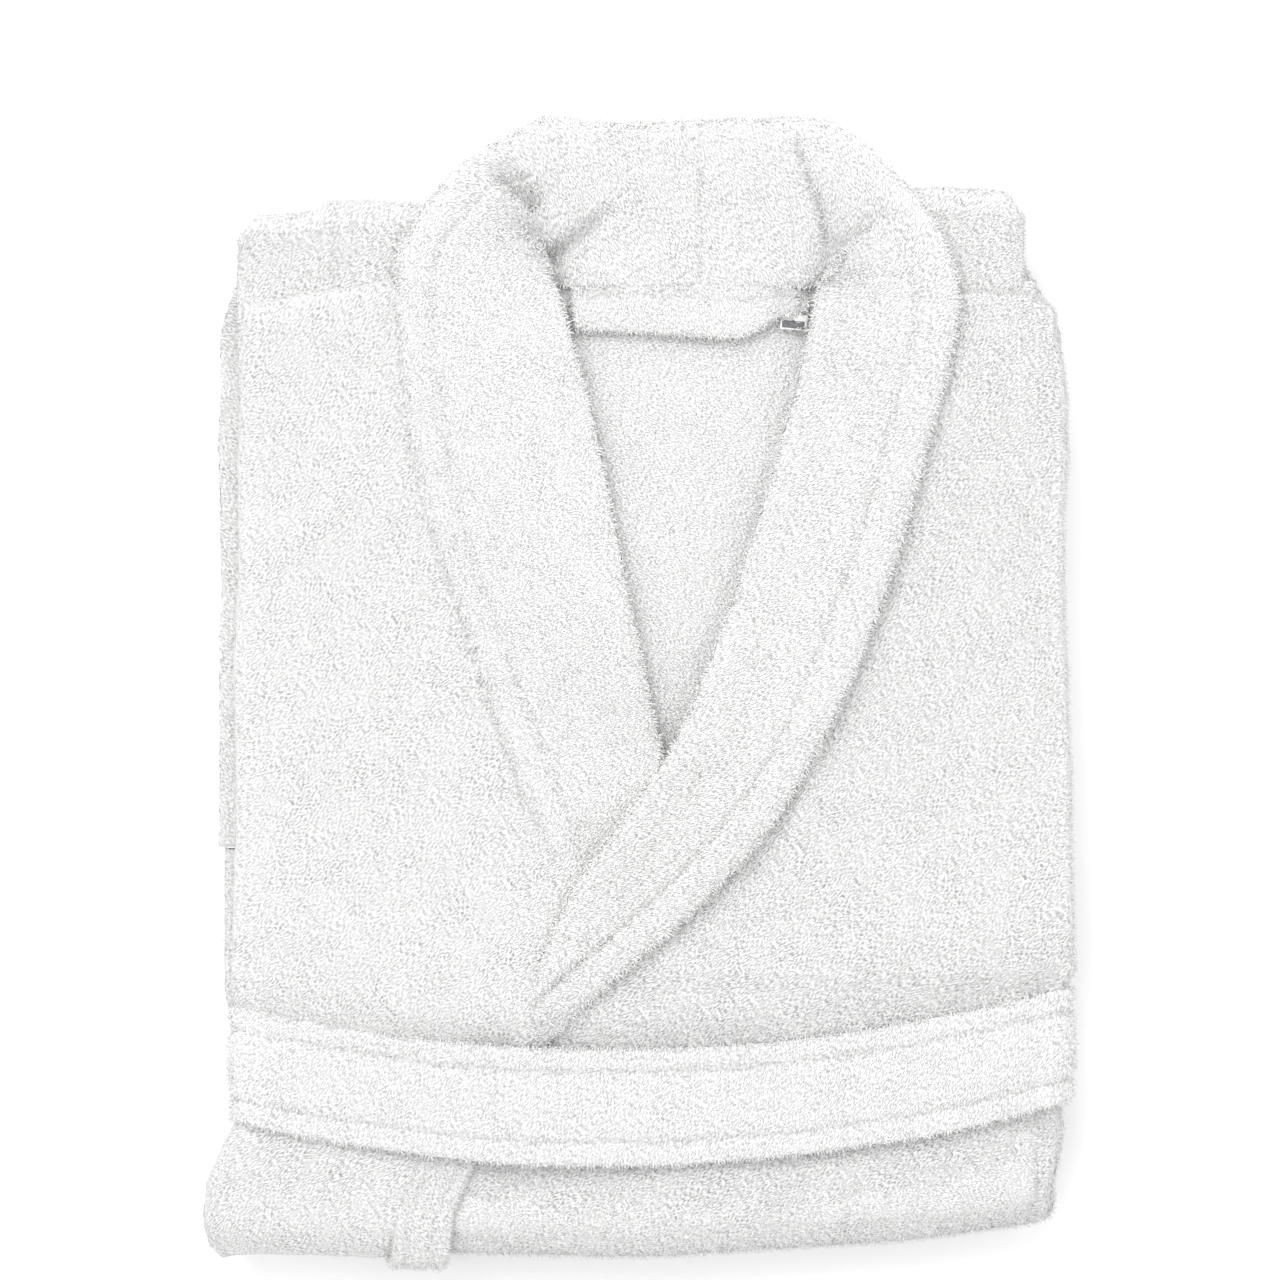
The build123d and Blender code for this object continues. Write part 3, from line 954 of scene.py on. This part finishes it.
# x and y of both lines of each half, from the centre back seam to the end of the lapel.
LEFT_INNER = [
    (27.8, 204), (58, 203.8), (80, 204), (88, 205.2), (91, 207), (91.6, 208),
    (90, 206), (86.5, 199), (80.5, 170), (71, 132), (56, 82), (38, 28),
    (15, -25), (-9, -60), (-34, -95), (-50, -130), (-62, -162), (-74, -190),
]
LEFT_OUTER = [
    (27.8, 287), (52, 288.5), (74, 288.5), (92, 287), (112, 275), (133, 253),
    (150, 227), (157.5, 200), (154, 170), (143, 128), (128, 73), (108, 18),
    (84, -33), (55, -76), (20, -112), (-15, -142), (-42, -168), (-62, -192),
]
RIGHT_INNER = [
    (30.2, 204), (0, 203.8), (-30, 204), (-43, 206), (-48.5, 214),
    (-50.5, 222), (-48.5, 221), (-44, 209), (-33.5, 173), (-21.5, 125),
    (-9, 62), (2, 8), (11, -34), (17, -70), (20, -100),
]
RIGHT_OUTER = [
    (30.2, 287), (4, 286), (-20, 286), (-44, 289), (-62, 283),
    (-90, 265), (-110, 242), (-122, 218), (-123, 185), (-119, 142),
    (-108, 88), (-90, 36), (-68, -28), (-50, -75), (-33, -112),
]
# Each crease is a line, its depth, its widths to the left and right, and how it fades at its ends.
centre_seam = ([(29, 294), (29.5, 268), (28.6, 240), (28, 198)], 1.0, 2.6, 2.6)
left_creases = [
    centre_seam,
    ([(74, 284), (79, 266), (85, 250), (89, 240), (91, 228), (92, 212)], 4.6, 2.8, 2.0, 12.0, 22.0),
    ([(94, 216), (104, 225.5), (113, 232), (125, 241)], 4.2, 5.0, 1.8, 9.0, 14.0),
]
right_creases = [
    centre_seam,
    ([(-53, 238), (-57, 245), (-67, 253), (-82, 264)], 9.5, 2.2, 8.0, 6.0, 16.0),
    ([(-43, 203), (-47, 214), (-50, 228)], 3.6, 3.5, 9.0, 3.0, 12.0),
    ([(-50, 220), (-41, 225), (-31, 232), (-21, 239.5), (-8, 250)], 7.5, 2.2, 8.0, 3.0, 30.0),
    ([(-45, 280), (-39, 268), (-34, 250)], 2.6, 4.0, 3.0, 8.0, 8.0),
    ([(-112, 232), (-98, 249), (-86, 254)], 1.6, 3.0, 3.0, 8.0, 8.0),
]
left_collar = Collar(LEFT_INNER, LEFT_OUTER, 4.8, left_lift, left_creases, press=1.5)
right_collar = Collar(RIGHT_INNER, RIGHT_OUTER, 5.3, right_lift, right_creases, press=4.2)


# ---- sleeves and cuffs
SLEEVES = (  # side, name, x where it shows, y of its fold, outer x
    (1, "left", (120, 191), 254, 211.5),
    (-1, "right", (-202, -96), 247, -212.5),
)
SLEEVE_Z = (31.0, 44.0)  # middle of a sleeve behind the pack, and at the shoulder
SLEEVE_BEND = (SLEEVE_Z[1] - SLEEVE_Z[0]) / 2
SLEEVE_IN = 4.5 + SLEEVE_BEND  # where it begins to bend, before the y of its fold
SLEEVE_DOWN = 312.0  # from the bend to the cuff
CUFF_HALF = 97.0


def flat_tube(middle, normal, half_width, thickness, s, u):
    """A tube pressed flat: middle has the x, y, z of its middle line at distances s, normal the
    y and z of its upper side, and u goes from -1 to 1 across. Gives the upper and the lower face
    and the place on the cloth."""
    x, y, z = (np.asarray(v)[:, None] for v in middle)
    ny, nz = (v[:, None] for v in normal)
    full = np.maximum(np.maximum(1 - np.abs(u) ** 2.6, 0) ** (1 / 2.6), 0.02)
    across = half_width[:, None] * u
    half = thickness[:, None] / 2 * full
    top = grid(x + across, y + ny * half, z + nz * half)
    bottom = grid(x + across, y - ny * half, z - nz * half)
    flat = grid(across, s[:, None])
    return top, bottom, flat


def across_tube(half):
    """The same from -1 to 1 for a flat tube."""
    turn = 6.0
    return across_band(half, turn, int(2 * (half - turn) / 2.2), 8) / half


def make_sleeve(side, word, shown, fold_y, outside):
    """A sleeve, flat and double, folded down behind the shoulder. shown has the x between which it
    stands out above the shoulder, fold_y is the y of its fold, and outside its outer x below."""
    route = Route(130, SLEEVE_Z[1], 0.0).run(fold_y - SLEEVE_IN - 130)
    fold_s = route.length + SLEEVE_BEND * math.pi / 2
    route.turn(-180, -SLEEVE_BEND, 18).run(SLEEVE_DOWN, 60)
    s = steps((route.length, 1.6))
    y, z, inward_y, inward_z = route.at(s)
    normal = -inward_y, -inward_z

    low_half = CUFF_HALF + 1
    w = smoothstep(fold_s + 25, fold_s + 75, s)
    middle = sum(shown) / 2 * (1 - w) + (outside - side * low_half) * w
    half = (shown[1] - shown[0]) / 2 * (1 - w) + low_half * w
    thickness = np.interp(s, [0, fold_s, fold_s + 30, s[-1]], [9.0, 11.0, 8.2, 7.4])
    x = middle + noise(s, 0, 34, 51 + side)
    top, bottom, flat = flat_tube((x, y, z), normal, half, thickness, s, across_tube(half.max()))
    x = top[..., 0]
    from_fold = s[:, None] - fold_s
    if side < 0:  # the armhole seam, and the step beside it
        ridges = 1.6 * (bell(x + 157, 2.2) + bell(x + 146, 2.0)) - 1.5 * bell(x + 151.5, 3.4)
        near = from_fold < 30
        top[..., 2] += near * ridges * np.abs(normal[1][:, None])
        drop = near * 5.0 * (smoothstep(-163, -158, x) - 1) * bell(from_fold, 26)
        top[..., 1] += drop
        bottom[..., 1] += drop
    from_end = max(side * shown[0], side * shown[1]) - side * x
    corner = 9.0 * (1 - smoothstep(0, 13, from_end)) ** 2 * bell(from_fold, 24)
    top[..., 1] -= corner
    bottom[..., 1] -= corner
    wavy = 0.9 * noise(x + 30, top[..., 1], 22, 53) * bell(from_fold, 30)
    top[..., 1] += wavy
    bottom[..., 1] += wavy
    return shell(f"{word}_sleeve_terry", top, bottom, flat + 90, 0.85, TERRY)


def make_cuff(side, word, fold_y, outside):
    """A turned-up cuff with two stitched lines, beyond the end of the sleeve."""
    s = steps((80, 1.6))
    y = fold_y - SLEEVE_IN - SLEEVE_DOWN - 1.0 - s
    half = CUFF_HALF - 1.5 * smoothstep(70, 80, s)
    ends = np.maximum(rounded(np.minimum(s, s[-1] - s), 4.5), 0.1)
    thickness = 8.6 * ends - 1.4 * bell(s - 8, 2) - 1.4 * bell(s - 70, 2)
    still = np.zeros(len(s))
    middle = still + outside - side * (CUFF_HALF + 2.5), y, still + SLEEVE_Z[0]
    top, bottom, flat = flat_tube(middle, (still, still + 1), half, thickness, s, across_tube(CUFF_HALF))
    return shell(f"{word}_cuff_terry", top, bottom, flat + 20, 0.85, TERRY)


# ---- the belt
BELT_CORNER = 14.0  # radius of its turns round the pack's sides
BELT_Z = (4.2, 48.9)  # its inner face below and above the pack
BELT_TURN = 2.6  # how wide its round edges are


def belt_ring(x0, x1):
    """The belt's inner face in the X-Z plane, clockwise from a place on the underside: distance,
    x, z and heading."""
    z0, z1 = BELT_Z
    route = Route(x0 + BELT_CORNER, z1, 0.0)
    for side in (x1 - x0, z1 - z0) * 2:
        length = side - 2 * BELT_CORNER
        route.run(length, int(length / 1.5)).turn(-90, -BELT_CORNER, 15)
    ring = np.array(route.points[:-1])
    start = int(np.argmin(np.abs(ring[:, 1] - 20) + 1000 * (ring[:, 2] > z0 + 1)))
    ring[:, 0] = (ring[:, 0] - ring[start, 0]) % route.length
    return np.roll(ring, -start, axis=0).T


def make_belt():
    """One turn of a flat stitched belt round the pack."""
    x0, x1 = belt_low[0] + 1.5, belt_high[0] - 1.5
    ss, xs, zs, hs = belt_ring(x0, x1)
    nx, nz = -np.sin(hs), np.cos(hs)
    c = across_band(BELT_HALF, BELT_TURN, 40)
    from_stitches = np.abs(c) - (BELT_HALF - 11.5)
    thickness = (5.4 + 0.9 * bell(c, 14)) * rounded(BELT_HALF - np.abs(c), BELT_TURN)
    thickness = thickness - 2.3 * bell(from_stitches, 1.7)
    upper = smoothstep(-0.2, 0.9, nz)
    lower = smoothstep(-0.6, -1.0, nz)[:, None]
    rise = 5.0 * bell(xs + 76, 44) * upper  # over the end of the left lapel
    rise = rise + 1.2 * upper * bell(xs - 5, 150) + 0.6 * noise(xs, zs, 46, 61) * upper
    inner = rise[:, None] + 0 * c
    pucker = 0.45 * noise((xs + 2 * zs)[:, None], 30 * np.sign(c), 9, 62)
    pucker = pucker * bell(from_stitches, 6) * (1 - lower)
    outer = inner + (thickness + pucker) * (1 - 0.5 * lower)
    y = belt_y(xs)[:, None] + c + 0.8 * noise(xs, zs, 60, 63)[:, None] * (c / BELT_HALF)
    from_side = np.minimum(xs - x0, x1 - xs)
    slope = (BELT_TILT + 2 * BELT_BEND * xs) * np.abs(nz) * smoothstep(BELT_CORNER - 4, 70, from_side)
    x = xs[:, None] - c * slope[:, None] * 0.9
    nx, nz = nx[:, None], nz[:, None]
    top = grid(x + nx * outer, y, zs[:, None] + nz * outer)
    bottom = grid(x + nx * inner, y, zs[:, None] + nz * inner)
    flat = grid(c, ss[:, None])
    return shell(
        "belt_terry", top, bottom, flat + 140, 0.8, TERRY_LIGHTER_PAINTED,
        wrap=True, fringe=0.4, teeth=(1.8, 3.4, 0.7),
    )


# ---- bands, loop, small pieces
def make_left_band():
    """The band below the belt: it lies on the left front's edge and turns under at the fold."""
    s0, s1 = route_s(-222), UNDER_START + 60
    s = s0 + steps((s1 - s0, 1.3))
    y, z, ny, nz = (v[:, None] for v in FRONT_ROUTE.at(s))
    half, edge = 14.4, 3.4
    c = across_band(half, edge, 18)
    x = np.interp(s, [s0, FOLD_START, FOLD_START + 40, s1], [-92, -108, -114, -117])[:, None] + c
    s = s[:, None]
    full = np.maximum(rounded(half - np.abs(c), edge), 0.1)
    thickness = 3.7 * full - 1.2 * bell(np.abs(c) - 6.5, 1.5)
    inner = 0.2 + 4.5 * bell(s - MID_FOLD, 28)
    outer = inner + thickness
    z = z + front_relief(x, y, 1) * smoothstep(0.1, 0.9, nz) * (s < MID_FOLD)
    y = y + fold_shift(x, s)
    top = grid(x, y + ny * outer, np.maximum(z + nz * outer, 0.4))
    bottom = grid(x, y + ny * inner, np.maximum(z + nz * inner, 0.9))
    flat = grid(c, s)
    return shell("left_band_terry", top, bottom, flat + 70, 0.8, TERRY)


def flat_patch(name, low, high, material, step=2.5, pile=0.6, shape=None):
    """A small flat piece of cloth between two corners; shape may move its points."""
    (x0, y0, z0), (x1, y1, z1) = low, high
    xs = x0 + steps((1.5, 0.5), (x1 - x0 - 3, step), (1.5, 0.5))
    ys = y0 + steps((1.5, 0.5), (y1 - y0 - 3, step), (1.5, 0.5))
    y, x = np.meshgrid(ys, xs, indexing="ij")
    points = grid(x, y, (z0 + z1) / 2)
    if shape is not None:
        points = shape(points)
    half = (edge_rounding(ys, xs, 1.5) * (z1 - z0) / 2)[..., None] * np.array([0, 0, 1.0])
    return shell(name, points + half, points - half, grid(x, y), pile, material)


def make_hanger_loop():
    """The loop of terry at the neck: a soft strip with a stitched upper edge."""
    x0, x1 = loop_low[0] - 0.8, loop_high[0] + 17.6
    xs = x0 + steps((x1 - x0, 1.2))
    across = np.concatenate([1.6 * edge_arc(5), np.linspace(1.6, 26.4, 21)[1:]])
    across = np.concatenate([across, 28.4 - 2.0 * edge_arc(6)[-2::-1]])
    seen = np.interp(  # how much of its width is seen from above
        xs, [-40, -20, 10, 40, 50, 57, 68, 84], [0.9, 0.93, 0.97, 1.0, 0.96, 0.84, 0.56, 0.44]
    )
    upper = loop_high[1] + 4.0 - 0.04 * np.maximum(xs, 0) - 1.5 * smoothstep(40, x1 + 12, xs)
    y = upper[:, None] - across * seen[:, None]
    full = rounded(np.minimum(across, across[-1] - across), 2.0)
    end = np.maximum(rounded(np.minimum(xs - xs[0], xs[-1] - xs), 2.5), 0.15)[:, None]
    puff = (3.4 + 1.1 * bell(across - 19, 8)) * full - 1.3 * bell(across - 9.6, 1.5)
    x = xs[:, None]
    right = smoothstep(x0 + 30, x0, x)  # both ends slant with the lapels
    x = x - right * (0.12 * (y - 178)) + right * 1.5
    x = x + smoothstep(x1 - 14, x1, x) * 0.05 * (y - 190)
    low = loop_low[2] + 0.3 + 2.2 * smoothstep(8, 25, across) + 0.5 * noise(x, y, 20, 71)
    low = low - 1.8 * smoothstep(x1 - 9, x1 - 1, x)
    top = grid(x, y, low + puff * end)
    bottom = grid(x, y, low)
    flat = grid(across, x)
    return shell(
        "hanger_loop_terry", top, bottom, flat + 33, 0.75, TERRY_IN,
        fringe=0.4, teeth=(1.8, 3.4, 0.75),
    )


def sunk(points):
    """Points moved down with the fronts where the belt pulls them in."""
    points[..., 2] += np.minimum(front_relief(points[..., 0], points[..., 1], 1), 0) - 2.5
    return points


HIDDEN = (
    "left_pocket", "right_pocket", "back_hem", "left_front_hem", "right_front_hem",
    "left_belt_loop", "right_belt_loop", "right_front_band", "neck_tape",
)


def make_hidden(name):
    """A piece that lies hidden or half hidden in the pack, where its CAD node is."""
    low, high = limits(name)
    gap = np.array([0, 0, 0.2])
    shape = sunk if name == "right_front_band" else None
    return flat_patch(name + "_terry", low + gap, high - gap, TERRY_IN, shape=shape)


def make_label():
    """A woven tag with no text: a dark field on a pale tape, a little askew."""
    low, high = limits("neck_label")
    middle = (low + high) / 2
    tilt = math.radians(-5)

    def askew(points):
        x, y = points[..., 0] - middle[0], points[..., 1] - middle[1]
        points[..., 0] = middle[0] + x * math.cos(tilt) - y * math.sin(tilt)
        points[..., 1] = middle[1] + x * math.sin(tilt) + y * math.cos(tilt)
        points[..., 2] += 0.6 * bell(x - 3, 4)
        return points

    def woven(name, x0, x1, y0, y1, z, thickness, material):
        corners = (x0, y0, z), (x1, y1, z + thickness)
        return flat_patch(name, *corners, material, step=0.8, pile=0.03, shape=askew)

    (x0, y0, z0), (x1, y1, _) = low, high
    tape = woven("neck_label_tape", x0, x1, y0, y1, z0 + 3.4, 0.7, THREAD)
    field = woven("neck_label_field", x0 + 1, x1 - 1.4, y0 + 1, y1 - 3.4, z0 + 3.9, 0.5, LABEL)
    return tape, field


# ---- the pieces, attached to their bodies in place of the CAD nodes
pieces = {}
for word, side in (("left", 1), ("right", -1)):
    upper, skirt = make_front(side, word)
    pieces[f"{word}_front_upper"] = upper
    pieces[f"{word}_front_skirt"] = skirt
pieces["back_panel"] = make_back()
pieces["left_upper_collar"], pieces["left_under_collar"] = make_collar(left_collar, "left")
pieces["right_upper_collar"], pieces["right_under_collar"] = make_collar(right_collar, "right")
for side, word, shown, fold_y, outside in SLEEVES:
    pieces[f"{word}_sleeve"] = make_sleeve(side, word, shown, fold_y, outside)
    pieces[f"{word}_cuff"] = make_cuff(side, word, fold_y, outside)
pieces["belt"] = make_belt()
pieces["left_front_band"] = make_left_band()
pieces["hanger_loop"] = make_hanger_loop()
for name in HIDDEN:
    pieces[name] = make_hidden(name)
pieces["neck_label"], pieces["neck_label_field"] = make_label()

replaced = {
    "left_front_upper": ["left_front_panel"],
    "left_front_skirt": ["left_front_panel"],
    "right_front_upper": ["right_front_panel"],
    "right_front_skirt": ["right_front_panel"],
    "neck_label_field": ["neck_label"],
}
for name, obj in pieces.items():
    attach(obj, name if name in ("belt", "hanger_loop") else "robe")
    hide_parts(*replaced.get(name, [name]))


by_name = {obj.name: obj for obj in pieces.values()}


# The skirts and the left band each get a mesh of their own.
for name in ("left_front_skirt", "right_front_skirt", "left_band_terry"):
    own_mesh(by_name[name])


# ---- floor, light and camera
def stage_and_light():
    """A paper floor under a white sky, a large soft light from behind and a small one beside."""
    far = 30000.0
    corners = np.array([[-far, -far, 0], [far, -far, 0], [far, far, 0], [-far, far, 0]])
    floor = mesh_object("floor", corners, [np.array([[0, 1, 2, 3]])])
    paper = bpy.data.materials.new("paper")
    paper.use_nodes = True
    shader = paper.node_tree.nodes["Principled BSDF"]
    shader.inputs["Base Color"].default_value = (0.97, 0.97, 0.97, 1)
    shader.inputs["Roughness"].default_value = 0.9
    floor.data.materials.append(paper)

    world = bpy.data.worlds.new("studio")
    bpy.context.scene.world = world
    world.use_nodes = True
    world.node_tree.nodes["Background"].inputs["Color"].default_value = (1, 1, 1, 1)
    world.node_tree.nodes["Background"].inputs["Strength"].default_value = 1.08

    def area(name, place, size, power):
        light = bpy.data.lights.new(name, "AREA")
        light.shape = "RECTANGLE"
        light.size, light.size_y = size
        light.energy = power
        obj = bpy.data.objects.new(name, light)
        obj.location = place
        direction = Vector((0, 0, 0.03)) - Vector(place)
        obj.rotation_euler = direction.to_track_quat("-Z", "Y").to_euler()
        bpy.context.collection.objects.link(obj)

    area("key", (-2.5, 4.9, 5.8), (4.6, 4.6), 256)
    area("fill", (2.7, 0.3, 2.4), (2.4, 2.4), 10)


def camera():
    """Looks straight down on the pack from afar."""
    data = bpy.data.cameras.new("camera")
    data.lens = 100
    data.sensor_width = 36
    cam = bpy.data.objects.new("camera", data)
    view_width = 0.640
    cam.location = (-0.001, 0.028, 0.045 + view_width * data.lens / data.sensor_width)
    cam.rotation_euler = (0, 0, 0)
    bpy.context.collection.objects.link(cam)
    bpy.context.scene.camera = cam


stage_and_light()
camera()
bpy.context.scene.view_settings.view_transform = "Standard"
